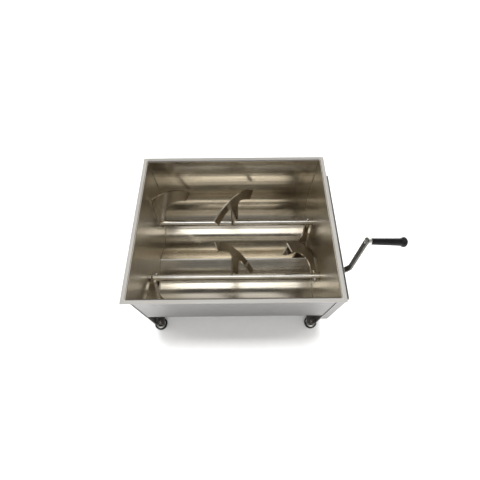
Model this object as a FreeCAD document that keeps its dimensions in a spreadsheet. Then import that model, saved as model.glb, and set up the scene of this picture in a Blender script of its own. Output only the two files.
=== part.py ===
import FreeCAD, Part
import math
import os
import Sketcher

# Hand-cranked twin-shaft meat mixer. +X is to the right (crank side), +Y to the rear, +Z up.
# The origin is on the floor, in the middle of the tank. Every length is in millimetres.

Vector = FreeCAD.Vector
X_AXIS = Vector(1, 0, 0)
Y_AXIS = Vector(0, 1, 0)
Z_AXIS = Vector(0, 0, 1)

# Driving sizes: millimetres, degrees, or a plain count
SIZES = {
    # Tank
    "tank_length": 500.0,
    "tank_depth": 408.0,
    "rim_height": 310.0,
    "axis_height": 143.0,
    "ridge_margin": 10.38,
    "sheet_wall": 1.5,
    "plate_wall": 2.0,
    "rim_width": 12.5,
    "rim_bend": 4.0,
    "ridge_bend": 3.0,
    "leg_flange": 25.0,
    "leg_bend": 2.0,
    # Feet
    "foot_height": 20.0,
    "foot_radius": 19.0,
    "foot_lip": 3.0,
    "foot_lip_height": 11.0,
    "foot_neck_radius": 9.0,
    "foot_side_inset": 11.0,
    "foot_end_inset": 7.5,
    "foot_screw_radius": 3.0,
    "foot_screw_head": 4.5,
    "foot_screw_head_height": 2.0,
    "foot_washer_wall": 1.0,
    "foot_washer_dish": 1.0,
    "foot_nut_height": 5.0,
    # Edges and loose fits
    "edge_break": 1.0,
    "loose_gap": 0.5,
    "thread_reach": 2.0,
    # Gears
    "gear_module": 2.0,
    "gear_teeth": 31.0,
    "gear_width": 10.0,
    "gear_hub_radius": 16.0,
    "gear_hub_length": 2.0,
    "tooth_play": 0.1,
    "pressure_angle": 20.0,
    "key_width": 6.0,
    "key_depth": 3.5,
    "key_height": 6.0,
    "idler_pin_radius": 6.0,
    "idler_flange": 4.0,
    "clip_wall": 1.2,
    "clip_height": 3.5,
    "groove_depth": 1.0,
    "groove_land": 1.2,
    "clip_play": 0.1,
    # Shafts and bearings
    "shaft_radius": 10.0,
    "journal_radius": 8.0,
    "running_gap": 0.05,
    "axial_gap": 1.0,
    "shoulder_gap": 0.5,
    "bushing_wall": 4.0,
    "bushing_flange": 3.0,
    "bushing_lip": 4.0,
    "housing_radius": 30.0,
    "housing_plate": 5.0,
    "housing_wall": 5.0,
    "journal_length": 15.0,
    "housing_screw_circle": 23.0,
    "housing_round": 2.0,
    # Gear cover
    "cover_gap": 1.0,
    "cover_wall": 1.5,
    "cover_drop": 57.0,
    "cover_rim_gap": 16.0,
    "cover_rear_reach": 69.0,
    "cover_corner": 3.0,
    "cover_screw_inset": 14.0,
    "spacer_radius": 5.0,
    "screw_radius": 2.5,
    "screw_head_radius": 4.5,
    "screw_head_height": 2.5,
    "screw_depth": 10.0,
    "cover_bush_wall": 2.5,
    "cover_bush_lip": 3.0,
    "cover_bush_flange": 1.5,
    # Paddles
    "paddle_gap": 4.5,
    "blade_width": 28.5,
    "paddle_plate": 4.0,
    "stem_width": 30.0,
    "middle_lean_angle": 52.0,
    "middle_sweep_angle": 44.66,
    "middle_fillet": 13.0,
    "hook_lean_angle": 47.0,
    "hook_sweep_angle": 59.91,
    "hook_fillet": 28.0,
    "hook_throat": 54.0,
    "hook_end_cut": 22.0,
    "hook_wall_gap": 3.3,
    "blade_end_cut": 16.0,
    "blade_tip_round": 3.0,
    "front_phase_angle": 103.4,
    "rear_phase_angle": 17.0,
    "hook_boss_radius": 6.0,
    "hook_boss_length": 9.0,
    "hook_bolt_radius": 3.0,
    "hook_bolt_head": 7.0,
    "hook_bolt_flange": 2.0,
    # Crank
    "crank_radius": 173.3,
    "crank_lean_angle": 9.9,
    "crank_bar_width": 16.0,
    "crank_bar_wall": 5.0,
    "crank_end": 10.0,
    "crank_end_round": 5.0,
    "crank_joggle_start": 11.0,
    "crank_joggle_rise": 38.5,
    "crank_joggle_out": 32.3,
    "crank_splay": 6.0,
    "crank_bend": 8.0,
    "crank_hub_radius": 17.0,
    "crank_hub_length": 16.5,
    "crank_bolt_radius": 5.0,
    "crank_bolt_head": 6.5,
    "crank_bolt_reach": 12.0,
    "crank_washer_radius": 8.0,
    "crank_washer_wall": 2.0,
    # Grip
    "collar_length": 8.5,
    "collar_radius": 8.5,
    "grip_length": 92.5,
    "grip_gap": 0.2,
    "grip_base_radius": 8.5,
    "grip_waist_radius": 10.0,
    "grip_bulb_radius": 13.3,
    "grip_bulb_length": 16.0,
    "grip_neck_round": 3.0,
    "grip_end_wall": 18.0,
    "spindle_radius": 4.0,
    "spindle_snap": 0.8,
    "snap_length": 2.0,
    "snap_ramp": 0.5,
    "snap_back": 25.0,
    "rivet_radius": 6.0,
    "rivet_height": 1.6,
}

doc = FreeCAD.newDocument("MeatMixer")
sheet = doc.addObject("Spreadsheet::Sheet", "Sizes")
for row, (alias, number) in enumerate(SIZES.items(), start=1):
    sheet.set("A%d" % row, alias)
    sheet.set("B%d" % row, str(number))
    sheet.setAlias("B%d" % row, alias)
doc.recompute()


class Dim:
    """A size that keeps its number together with the formula that ties it to the sheet."""

    def __init__(self, value, text):
        self.value = value
        self.text = text

    def join(self, other, sign, value):
        return Dim(value, "(%s %s %s)" % (self.text, sign, other.text))

    def __add__(self, other):
        other = dim(other)
        return self.join(other, "+", self.value + other.value)

    def __sub__(self, other):
        other = dim(other)
        return self.join(other, "-", self.value - other.value)

    def __mul__(self, other):
        other = dim(other)
        return self.join(other, "*", self.value * other.value)

    def __truediv__(self, other):
        other = dim(other)
        return self.join(other, "/", self.value / other.value)

    def __neg__(self):
        return dim(0) - self

    def __radd__(self, other):
        return dim(other) + self

    def __rsub__(self, other):
        return dim(other) - self

    def __rmul__(self, other):
        return dim(other) * self


def dim(number):
    if isinstance(number, Dim):
        return number
    return Dim(float(number), repr(float(number)) if number >= 0 else "(%r)" % float(number))


def size(alias):
    return Dim(SIZES[alias], "Sizes." + alias)


def root(d):
    return Dim(math.sqrt(d.value), "sqrt(%s)" % d.text)


def sine(d):
    return Dim(math.sin(math.radians(d.value)), "sin(%s)" % d.text)


def cosine(d):
    return Dim(math.cos(math.radians(d.value)), "cos(%s)" % d.text)


def arc_tangent(d):
    return Dim(math.degrees(math.atan(d.value)), "(atan(%s) / 1 deg)" % d.text)


# How close two computed places are when they are the same place
NEAR = 0.01

# Sketch helpers
LEFT = 1
RIGHT = -1


def bind(sketch, kind, places, d):
    """A dimension between the given places, driven by the sheet."""
    index = sketch.addConstraint(Sketcher.Constraint(kind, *places, d.value))
    sketch.setExpression("Constraints[%d]" % index, d.text)


def pin_point(sketch, geometry, point, x, y):
    bind(sketch, "DistanceX", (geometry, point), dim(x))
    bind(sketch, "DistanceY", (geometry, point), dim(y))


def curve(start, end, radius, turn):
    """Arc from start to end that bends to the left (+1) or to the right (-1), under half a turn."""
    chord = end - start
    lift = math.sqrt(max(radius ** 2 - (chord.Length / 2) ** 2, 0.0))
    side = Vector(-chord.y, chord.x, 0).normalize() * (lift * turn)
    centre = (start + end) / 2 + side
    first, last = (start, end) if turn == LEFT else (end, start)
    angles = [math.atan2(p.y - centre.y, p.x - centre.x) for p in (first, last)]
    return Part.ArcOfCircle(Part.Circle(centre, Z_AXIS, radius), angles[0], angles[1])


def outline(sketch, corners):
    """Closed outline. A corner is (x, y), or (x, y, radius, turn) when an arc leaves it."""
    spots = [Vector(dim(c[0]).value, dim(c[1]).value, 0) for c in corners]
    edges = []
    for number, corner in enumerate(corners):
        start = spots[number]
        end = spots[(number + 1) % len(spots)]
        if len(corner) == 2:
            edges.append((sketch.addGeometry(Part.LineSegment(start, end)), 1, 2))
        else:
            arc = sketch.addGeometry(curve(start, end, dim(corner[2]).value, corner[3]))
            edges.append((arc, 1, 2) if corner[3] == LEFT else (arc, 2, 1))
    for number, corner in enumerate(corners):
        geometry, first, last = edges[number]
        following = edges[(number + 1) % len(edges)]
        sketch.addConstraint(Sketcher.Constraint("Coincident", geometry, last, following[0], following[1]))
        pin_point(sketch, geometry, first, corner[0], corner[1])
        if len(corner) == 4:
            bind(sketch, "Radius", (geometry,), dim(corner[2]))


def rectangle(sketch, low_x, low_y, high_x, high_y):
    outline(sketch, [(low_x, low_y), (high_x, low_y), (high_x, high_y), (low_x, high_y)])


def circle(sketch, x, y, radius):
    radius = dim(radius)
    place = Vector(dim(x).value, dim(y).value, 0)
    geometry = sketch.addGeometry(Part.Circle(place, Z_AXIS, radius.value))
    pin_point(sketch, geometry, 3, x, y)
    bind(sketch, "Radius", (geometry,), radius)


def mirrored(corners, side):
    """The outline itself (+1) or its mirror image about the y axis (-1)."""
    if side == 1:
        return corners
    flipped = []
    for number, corner in enumerate(corners):
        arc = corner[2:]
        flipped.append((-dim(corner[0]), corner[1]) + ((arc[0], -arc[1]) if arc else ()))
    return flipped


# Body helpers
def new_body(label):
    body = doc.addObject("PartDesign::Body", label)
    body.Label = label
    return body


def origin_item(body, role):
    return next(f for f in body.Origin.OriginFeatures if f.Role == role)


def new_sketch(body, role, offset=0, axis=None, angle=0):
    """Sketch on one of the body's own planes, moved along its normal and turned about an axis."""
    offset = dim(offset)
    angle = dim(angle)
    sketch = body.newObject("Sketcher::SketchObject", body.Label + "_sketch")
    sketch.AttachmentSupport = (origin_item(body, role), [""])
    sketch.MapMode = "FlatFace"
    turn = FreeCAD.Rotation(axis or Z_AXIS, angle.value)
    sketch.AttachmentOffset = FreeCAD.Placement(Vector(0, 0, offset.value), turn)
    sketch.setExpression("AttachmentOffset.Base.z", offset.text)
    if axis is not None:
        sketch.setExpression("AttachmentOffset.Rotation.Angle", angle.text)
    return sketch


def pad(body, sketch, length, middle=False, down=False):
    length = dim(length)
    feature = body.newObject("PartDesign::Pad", body.Label + "_pad")
    feature.Profile = sketch
    feature.Length = length.value
    feature.setExpression("Length", length.text)
    feature.SideType = "Symmetric" if middle else "One side"
    feature.Reversed = down
    return feature


def pocket(body, sketch, length=None, up=False):
    """A cut below the sketch, above it (up), or right through both ways when no length is given."""
    feature = body.newObject("PartDesign::Pocket", body.Label + "_pocket")
    feature.Profile = sketch
    if length is None:
        feature.Type = "ThroughAll"
        feature.SideType = "Symmetric"
    else:
        length = dim(length)
        feature.Length = length.value
        feature.setExpression("Length", length.text)
        feature.Reversed = up
    return feature


def turned(body, corners, upright=False):
    """A turned piece: (place along the axis, radius) corners, about the body's X axis or Z axis."""
    if upright:
        corners = [(c[1], c[0]) + ((c[2], -c[3]) if len(c) == 4 else ()) for c in corners]
    sketch = new_sketch(body, "XZ_Plane")
    outline(sketch, corners)
    feature = body.newObject("PartDesign::Revolution", body.Label + "_turned")
    feature.Profile = sketch
    feature.ReferenceAxis = (origin_item(body, "Z_Axis" if upright else "X_Axis"), [""])
    feature.Angle = 360.0
    return feature


def around(body, feature, count):
    """Repeats a feature evenly round the body's X axis."""
    count = dim(count)
    pattern = body.newObject("PartDesign::PolarPattern", body.Label + "_pattern")
    pattern.Originals = [feature]
    pattern.Axis = (origin_item(body, "X_Axis"), [""])
    pattern.Angle = 360.0
    pattern.Occurrences = int(count.value)
    pattern.setExpression("Occurrences", count.text)
    body.Tip = pattern
    return pattern


def edges_where(feature, wanted):
    """Names of the edges of a recomputed feature that a test function accepts."""
    names = []
    for number, edge in enumerate(feature.Shape.Edges, start=1):
        if wanted(edge):
            names.append("Edge%d" % number)
    return names


def fillet(body, feature, wanted, radius):
    doc.recompute()
    radius = dim(radius)
    rounding = body.newObject("PartDesign::Fillet", body.Label + "_fillet")
    rounding.Base = (feature, edges_where(feature, wanted))
    rounding.Radius = radius.value
    rounding.setExpression("Radius", radius.text)
    body.Tip = rounding
    return rounding


def place(item, x=0, y=0, z=0, axis=None, angle=0):
    x, y, z, angle = dim(x), dim(y), dim(z), dim(angle)
    turn = FreeCAD.Rotation(axis or Z_AXIS, angle.value)
    item.Placement = FreeCAD.Placement(Vector(x.value, y.value, z.value), turn)
    for field, d in (("x", x), ("y", y), ("z", z)):
        item.setExpression("Placement.Base." + field, d.text)
    if axis is not None:
        item.setExpression("Placement.Rotation.Angle", angle.text)


def group(label, pieces):
    """Like pieces that stay separate solids in one node."""
    compound = doc.addObject("Part::Compound", label)
    compound.Label = label
    compound.Links = pieces
    nodes.append(compound)


nodes = []


def finish(body):
    nodes.append(body)
    return body


# Shapes that don't change with size
HOUSING_SCREW_ANGLES = (90, 210, 330)
HEX_SIDES = 6
HEX_CORNER = 1.8
HEAD_RIM = 0.5
HEAD_CROWN = 0.6
NECK_RUN = 0.8
NECK_RISE = 0.6
BULB_ROUND = 0.8
BULB_NOSE = 0.5
BULB_END = 1.6
FULL_TURN = 360
HALF_TURN = 180

# Sizes worked out from the driving ones
wall = size("sheet_wall")
plate = size("plate_wall")
rim = size("rim_height")
rim_bend = size("rim_bend")
rim_width = size("rim_width")
axis_height = size("axis_height")
half_length = size("tank_length") / 2
half_depth = size("tank_depth") / 2
pitch_diameter = size("gear_module") * size("gear_teeth")
shaft_offset = pitch_diameter * 1.5
trough_radius = half_depth - shaft_offset
sweep_radius = trough_radius - size("paddle_gap")
shaft_radius = size("shaft_radius")
running_gap = size("running_gap")
shaft_bore = shaft_radius + running_gap
plate_outside = half_length + plate
gear_start = plate_outside + size("bushing_flange") + size("axial_gap")
gear_end = gear_start + size("gear_width")
hub_end = gear_end + size("gear_hub_length")
cover_front = half_depth + wall
cover_rear = shaft_offset + size("cover_rear_reach")
cover_bottom = axis_height - size("cover_drop")
cover_top = rim - size("cover_rim_gap")
bushing_radius = shaft_radius + size("bushing_wall")
journal_bushing_radius = size("journal_radius") + size("bushing_wall")
shaft_places = {"front": -shaft_offset, "rear": shaft_offset}
leg_bottom = size("foot_height")


# Places along the shafts that several pieces share
journal_end = -(half_length - size("shoulder_gap")) - size("journal_length")
key_top = shaft_radius - size("key_depth") + size("key_height")
clip_start = hub_end + size("shoulder_gap")
clip_groove = size("clip_wall") + size("clip_play")
clip_end = clip_start + clip_groove
rear_shaft_end = clip_end + size("groove_land")
cover_inside = rear_shaft_end + size("cover_gap")
cover_outside = cover_inside + size("cover_wall")
idler_clip_start = gear_end + size("shoulder_gap")
idler_rivet = size("idler_pin_radius") - size("groove_depth")
cover_bush_radius = shaft_radius + size("cover_bush_wall")
cover_bush_end = cover_outside + size("cover_bush_flange")
crank_start = cover_bush_end + size("axial_gap")
crank_bar_x = crank_start + size("crank_hub_length") + size("crank_bar_wall") / 2
crank_shaft_end = crank_start + size("crank_hub_length") - size("axial_gap")
crank_set_x = crank_start + size("crank_hub_length") / 2

# Crank arm, in the plane of the shaft and the arm: the upper run splays out to the grip
elbow_x = crank_bar_x + size("crank_joggle_out")
elbow_z = size("crank_joggle_start") + size("crank_joggle_rise")
grip_x = elbow_x + size("crank_splay")
upper_rise = size("crank_radius") - elbow_z
splay = arc_tangent(size("crank_splay") / upper_rise)
splay_sin = sine(splay)
splay_cos = cosine(splay)
grip_height = size("crank_radius") * splay_cos + grip_x * splay_sin


# Tank sheet: both troughs, the ridge between them, the front and rear walls and their rims
def trough_sheet():
    apex_reach = trough_radius + size("ridge_margin")
    span = apex_reach * apex_reach
    drop = root(span - shaft_offset * shaft_offset)
    slope_length = root(span - trough_radius * trough_radius)
    slope_cos = (shaft_offset * slope_length + drop * trough_radius) / span
    slope_sin = (shaft_offset * trough_radius - drop * slope_length) / span
    apex = axis_height - drop
    bend = size("ridge_bend")
    crest = (bend * slope_sin, apex - bend * slope_sin * slope_sin / slope_cos)
    foot = (slope_length * slope_cos, apex - slope_length * slope_sin)

    def below(point):
        return (point[0] - wall * slope_sin, point[1] - wall * slope_cos)

    lip = half_depth + rim_width
    top_rear = [
        (crest[0], crest[1]),
        (foot[0], foot[1], trough_radius, LEFT),
        (half_depth, axis_height),
        (half_depth, rim - rim_bend, rim_bend, RIGHT),
        (half_depth + rim_bend, rim),
        (lip, rim),
        (lip, rim - wall),
        (half_depth + rim_bend, rim - wall, rim_bend - wall, LEFT),
        (half_depth + wall, rim - rim_bend),
        (half_depth + wall, axis_height, trough_radius + wall, RIGHT),
        below(foot),
        below(crest) + (bend - wall, LEFT),
    ]
    bottom_front = [
        (-below(crest)[0], below(crest)[1]),
        (-below(foot)[0], below(foot)[1], trough_radius + wall, RIGHT),
        (-(half_depth + wall), axis_height),
        (-(half_depth + wall), rim - rim_bend, rim_bend - wall, LEFT),
        (-(half_depth + rim_bend), rim - wall),
        (-lip, rim - wall),
        (-lip, rim),
        (-(half_depth + rim_bend), rim, rim_bend, RIGHT),
        (-half_depth, rim - rim_bend),
        (-half_depth, axis_height, trough_radius, LEFT),
        (-foot[0], foot[1]),
        (-crest[0], crest[1], bend, RIGHT),
    ]
    body = new_body("trough_sheet")
    sketch = new_sketch(body, "YZ_Plane")
    outline(sketch, top_rear + bottom_front)
    pad(body, sketch, half_length * 2, middle=True)
    finish(body)


def housing_screw_spots(y, z):
    """Screw places round a left housing whose centre is at y, z."""
    reach = size("housing_screw_circle")
    for angle in HOUSING_SCREW_ANGLES:
        yield y + reach * cosine(dim(angle)), z + reach * sine(dim(angle))


# End plates: a flat wall folded outward at the rim and inward at the legs
def end_plate(label, side, shaft_hole):
    bend = size("leg_bend")
    inner = half_length
    outer = half_length + plate
    fold = [
        (inner - size("leg_flange"), leg_bottom + plate),
        (inner - bend, leg_bottom + plate, bend, LEFT),
        (inner, leg_bottom + plate + bend),
        (inner, rim - rim_bend, rim_bend, RIGHT),
        (inner + rim_bend, rim),
        (inner + rim_width, rim),
        (inner + rim_width, rim - plate),
        (inner + rim_bend, rim - plate, rim_bend - plate, LEFT),
        (outer, rim - rim_bend),
        (outer, leg_bottom + plate + bend, bend + plate, RIGHT),
        (inner - bend, leg_bottom),
        (inner - size("leg_flange"), leg_bottom),
    ]
    body = new_body(label)
    sketch = new_sketch(body, "XZ_Plane")
    outline(sketch, mirrored(fold, side))
    pad(body, sketch, cover_front * 2, middle=True)
    for end in (-1, 1):
        corner = new_sketch(body, "XY_Plane", rim)
        rectangle(corner, inner * side, cover_front * end,
                  (inner + rim_width) * side, (half_depth + rim_width) * end)
        pad(body, corner, plate, down=True)
    holes = new_sketch(body, "YZ_Plane")
    for y in shaft_places.values():
        circle(holes, y, axis_height, shaft_hole)
    if side == 1:
        for y in (-pitch_diameter / 2, pitch_diameter / 2):
            circle(holes, y, axis_height, idler_rivet)
    else:
        for centre in shaft_places.values():
            for y, z in housing_screw_spots(centre, axis_height):
                circle(holes, y, z, size("screw_radius"))
    pocket(body, holes)
    screws = new_sketch(body, "XY_Plane")
    for y in (-foot_y, foot_y):
        circle(screws, foot_x * side, y, size("foot_screw_radius"))
    pocket(body, screws)
    return finish(body)


foot_x = half_length - size("foot_side_inset")
foot_y = cover_front - size("foot_end_inset")


# Rubber feet with a steel cup washer, screwed up through the leg flange
def feet():
    lip = size("foot_lip")
    disc = size("foot_lip_height")
    radius = size("foot_radius")
    neck = size("foot_neck_radius")
    bore = size("foot_screw_radius")
    edge = size("edge_break")
    recess = disc - lip
    seat = radius - lip
    head = recess / 2
    head_room = size("foot_screw_head") + size("loose_gap")
    foot = [
        (0, head_room),
        (0, radius - edge, edge, RIGHT),
        (edge, radius),
        (disc - edge, radius, edge, RIGHT),
        (disc, radius - edge),
        (disc, seat),
        (recess, seat),
        (recess, neck),
        (leg_bottom, neck),
        (leg_bottom, bore),
        (head, bore),
        (head, head_room),
    ]
    washer_edge = seat - size("loose_gap")
    washer_top = recess + size("foot_washer_wall")
    dish_top = washer_top + size("foot_washer_dish")
    washer = [
        (recess, neck),
        (recess, washer_edge),
        (washer_top, washer_edge),
        (dish_top, neck + size("foot_washer_dish") * 2),
        (dish_top, neck),
    ]
    head_bottom = head - size("foot_screw_head_height")
    top = leg_bottom + plate
    screw_end = top + size("foot_nut_height") + size("thread_reach")
    screw = [
        (head_bottom, 0),
        (head_bottom, size("foot_screw_head")),
        (head, size("foot_screw_head")),
        (head, bore),
        (screw_end, bore),
        (screw_end, 0),
    ]
    washers = []
    screws = []
    nuts = []
    for side, side_name in ((-1, "left"), (1, "right")):
        for end, end_name in ((-1, "front"), (1, "rear")):
            name = "%s_%s" % (end_name, side_name)
            spot = dict(x=foot_x * side, y=foot_y * end)
            body = new_body("foot_" + name)
            turned(body, foot, upright=True)
            place(body, **spot)
            finish(body)
            for pieces, kind, corners in ((washers, "washer", washer), (screws, "screw", screw)):
                piece = new_body("foot_%s_%s" % (kind, name))
                turned(piece, corners, upright=True)
                place(piece, **spot)
                pieces.append(piece)
            nut = new_body("foot_nut_" + name)
            sketch = new_sketch(nut, "XY_Plane")
            hexagon(sketch, bore * HEX_CORNER)
            circle(sketch, 0, 0, bore)
            pad(nut, sketch, size("foot_nut_height"))
            place(nut, foot_x * side, foot_y * end, top)
            nuts.append(nut)
    group("foot_washers", washers)
    group("foot_screws", screws)
    group("foot_nuts", nuts)


def hexagon(sketch, radius):
    """Hexagon about the sketch's origin, radius to the corners."""
    radius = dim(radius)
    corners = []
    for number in range(HEX_SIDES):
        angle = dim(FULL_TURN * number / HEX_SIDES)
        corners.append((radius * cosine(angle), radius * sine(angle)))
    outline(sketch, corners)


# Shafts: a shouldered journal at the left, a gear seat with its keyway at the right
def shaft(name, right_end, bolt_angles):
    chamfer = size("edge_break")
    groove_floor = shaft_radius - size("groove_depth")
    shoulder = -(half_length - size("shoulder_gap"))
    journal = size("journal_radius")
    corners = [
        (journal_end, 0),
        (journal_end, journal - chamfer),
        (journal_end + chamfer, journal),
        (shoulder, journal),
        (shoulder, shaft_radius),
        (clip_start, shaft_radius),
        (clip_start, groove_floor),
        (clip_end, groove_floor),
        (clip_end, shaft_radius),
        (right_end - chamfer, shaft_radius),
        (right_end, shaft_radius - chamfer),
        (right_end, 0),
    ]
    body = new_body(name + "_shaft")
    turned(body, corners)
    keyway = new_sketch(body, "XY_Plane", shaft_radius)
    half_key = size("key_width") / 2
    rectangle(keyway, gear_start, -half_key, gear_end, half_key)
    pocket(body, keyway, size("key_depth"))
    for x, angle in zip((-hook_x, hook_x), bolt_angles):
        hole = new_sketch(body, "XY_Plane", 0, X_AXIS, -angle)
        circle(hole, x, 0, size("hook_bolt_radius"))
        pocket(body, hole)
    if name == "front":
        bolt_hole = new_sketch(body, "YZ_Plane", right_end)
        circle(bolt_hole, 0, 0, size("crank_bolt_radius"))
        pocket(body, bolt_hole, size("crank_bolt_reach") + size("thread_reach"))
    place(body, 0, shaft_places[name], axis_height)
    return finish(body)


# Paddles: flat plates cut to follow the trough when they lean across the shaft
half_stem = size("stem_width") / 2
hook_lean = size("hook_lean_angle")
middle_lean = size("middle_lean_angle")
hook_cos = cosine(hook_lean)
hook_thick = size("paddle_plate") / 2 * sine(hook_lean)
hook_x = half_length - size("hook_wall_gap") - hook_thick - half_stem * hook_cos
inner_radius = sweep_radius - size("blade_width")


def swept(radius, lean, along):
    """Height, in a leaning plate, of a point that sweeps the given radius."""
    across = along * sine(lean)
    return root(radius * radius - across * across)


def reach_of(lean, sweep_angle):
    """How far along a leaning plate a blade runs that sweeps this angle round the shaft."""
    return sweep_radius * sine(sweep_angle) / sine(lean)


def arc_radius(half_chord, rise):
    """Radius of the arc with this half chord and rise."""
    return (half_chord * half_chord + rise * rise) / (rise * 2)


def middle_outline():
    lean = middle_lean
    reach = reach_of(lean, size("middle_sweep_angle"))
    inner_reach = reach - size("blade_end_cut")
    tip = swept(sweep_radius, lean, reach)
    inner_tip = swept(inner_radius, lean, inner_reach)
    outer_arc = arc_radius(reach, sweep_radius - tip)
    blade_start = half_stem + size("middle_fillet")
    blade_low = swept(inner_radius, lean, blade_start)
    inner_arc = arc_radius(inner_reach, inner_radius - inner_tip)
    stem_top = blade_low - size("middle_fillet")
    right = [
        (half_stem, 0),
        (half_stem, stem_top, size("middle_fillet"), RIGHT),
        (blade_start, blade_low, inner_arc, RIGHT),
        (inner_reach, inner_tip),
        (reach, tip, outer_arc, LEFT),
    ]
    left = [
        (-reach, tip),
        (-inner_reach, inner_tip, inner_arc, RIGHT),
        (-blade_start, blade_low, size("middle_fillet"), RIGHT),
        (-half_stem, stem_top),
        (-half_stem, 0),
    ]
    return right + left


def hook_outline():
    lean = hook_lean
    reach = reach_of(lean, size("hook_sweep_angle"))
    tip = swept(sweep_radius, lean, reach)
    heel = swept(sweep_radius, lean, half_stem)
    half_run = (reach + half_stem) / 2
    half_fall = (heel - tip) / 2
    half_chord = root(half_run * half_run + half_fall * half_fall)
    crown = swept(sweep_radius, lean, reach - half_run)
    rise = (crown - heel + half_fall) * half_run / half_chord
    bend = size("hook_fillet")
    throat = size("hook_throat")
    blade_start = half_stem + bend
    inner_reach = reach - size("hook_end_cut")
    inner_tip = tip - size("hook_end_cut")
    run = inner_reach - blade_start
    fall = throat - inner_tip
    return [
        (-half_stem, 0),
        (half_stem, 0),
        (half_stem, throat - bend, bend, RIGHT),
        (blade_start, throat, (run * run + fall * fall) / (fall * 2), RIGHT),
        (inner_reach, inner_tip),
        (reach, tip, arc_radius(half_chord, rise), LEFT),
        (-half_stem, heel),
    ]


def paddle(label, corners, lean, x, y, stem_angle, boss):
    """Plate in a plane that leans across the shaft; its own Y runs up the stem."""
    body = new_body(label)
    sketch = new_sketch(body, "XY_Plane", 0, Y_AXIS, lean)
    outline(sketch, corners)
    blank = pad(body, sketch, size("paddle_plate"), middle=True)
    reach = max(abs(corner[0].value) for corner in corners)

    def tip_edge(edge):
        spot = edge.CenterOfMass
        across_plate = abs(edge.Length - size("paddle_plate").value) < NEAR
        return across_plate and math.hypot(spot.x, spot.z) > reach / 2

    fillet(body, blank, tip_edge, size("blade_tip_round"))
    if boss:
        seat = new_sketch(body, "XZ_Plane")
        circle(seat, 0, 0, size("hook_boss_radius"))
        pad(body, seat, shaft_radius + size("hook_boss_length"), down=True)
        thread = new_sketch(body, "XZ_Plane")
        circle(thread, 0, 0, size("hook_bolt_radius"))
        pocket(body, thread, shaft_radius + size("hook_boss_length") / 2)
    saddle = new_sketch(body, "YZ_Plane")
    circle(saddle, 0, 0, shaft_radius)
    pocket(body, saddle)
    place(body, x, y, axis_height, X_AXIS, 90 - stem_angle)
    return finish(body)


def hook_bolts(name, stems):
    """Domed bolts that pass through the shaft into each hook's boss."""
    bolt = size("hook_bolt_radius")
    end = shaft_radius + size("hook_boss_length") / 2
    seat = -shaft_radius
    crown = seat - size("hook_bolt_head")
    shoulder = (crown + seat) / 2
    flange = bolt + size("hook_bolt_flange")
    dome = [
        (crown, 0),
        (crown, bolt * HEAD_CROWN),
        (shoulder, flange),
        (seat + size("hook_bolt_flange"), flange),
        (seat + size("hook_bolt_flange"), 0),
    ]
    bolts = []
    for x, stem_angle in stems:
        bolt_body = new_body(name + "_hook_bolt")
        turned(bolt_body, dome, upright=True)
        saddle = new_sketch(bolt_body, "YZ_Plane")
        circle(saddle, 0, 0, shaft_radius)
        pocket(bolt_body, saddle)
        shank = new_sketch(bolt_body, "XY_Plane", shoulder)
        circle(shank, 0, 0, bolt)
        pad(bolt_body, shank, end - shoulder)
        place(bolt_body, x, shaft_places[name], axis_height, X_AXIS, -stem_angle)
        bolts.append(bolt_body)
    group(name + "_hook_bolts", bolts)


# Bearings: flanged bushings in both end plates, capped housings outside the left one
def ring(label, corners, y):
    body = new_body(label)
    turned(body, corners)
    place(body, 0, y, axis_height)
    return finish(body)


def right_bushing(name, y):
    lip = plate_outside + size("bushing_flange")
    ring(name + "_right_bushing", [
        (half_length, shaft_bore),
        (half_length, bushing_radius),
        (plate_outside, bushing_radius),
        (plate_outside, bushing_radius + size("bushing_lip")),
        (lip, bushing_radius + size("bushing_lip")),
        (lip, shaft_bore),
    ], y)


def left_bushing(name, y):
    bore = size("journal_radius") + running_gap
    ring(name + "_left_bushing", [
        (-half_length, bore),
        (-half_length, journal_bushing_radius),
        (journal_end, journal_bushing_radius),
        (journal_end, bore),
    ], y)


def left_housing(name, y):
    lip = -(plate_outside + size("housing_plate"))
    boss = journal_bushing_radius + size("housing_wall")
    cavity = journal_end - size("axial_gap")
    end = cavity - size("housing_wall")
    edge = size("edge_break")
    bend = size("housing_round")
    body = new_body(name + "_left_housing")
    turned(body, [
        (-plate_outside, journal_bushing_radius),
        (-plate_outside, size("housing_radius")),
        (lip + edge, size("housing_radius")),
        (lip, size("housing_radius") - edge),
        (lip, boss + bend, bend, RIGHT),
        (lip - bend, boss),
        (end + bend, boss, bend, LEFT),
        (end, boss - bend),
        (end, 0),
        (cavity, 0),
        (cavity, journal_bushing_radius),
    ])
    holes = new_sketch(body, "YZ_Plane")
    for hole_y, hole_z in housing_screw_spots(0, 0):
        circle(holes, hole_y, hole_z, size("screw_radius"))
    pocket(body, holes)
    place(body, 0, y, axis_height)
    finish(body)


def pan_screw(label, seat, reach, direction, y, z):
    """Pan-head screw along X: its head sits on seat and its shank runs back by reach."""
    shank = size("screw_radius")
    head = size("screw_head_radius")
    end = seat - reach * direction
    top = seat + size("screw_head_height") * direction
    body = new_body(label)
    turned(body, [
        (end, 0),
        (end, shank),
        (seat, shank),
        (seat, head),
        (seat + size("screw_head_height") * direction * HEAD_RIM, head),
        (top, head * HEAD_CROWN),
        (top, 0),
    ])
    place(body, 0, y, z)
    return body


def housing_screws():
    screws = []
    seat = -(plate_outside + size("housing_plate"))
    for centre in shaft_places.values():
        for y, z in housing_screw_spots(centre, axis_height):
            screws.append(pan_screw("housing_screw", seat, size("housing_plate") + plate, -1, y, z))
    group("housing_screws", screws)


# Gear train: four equal spur gears in line, so that the shafts turn opposite ways
GAP_AT_ROOT = 0.52
GAP_AT_TIP = 1.3
ROOT_DEPTH = 1.25


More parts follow.
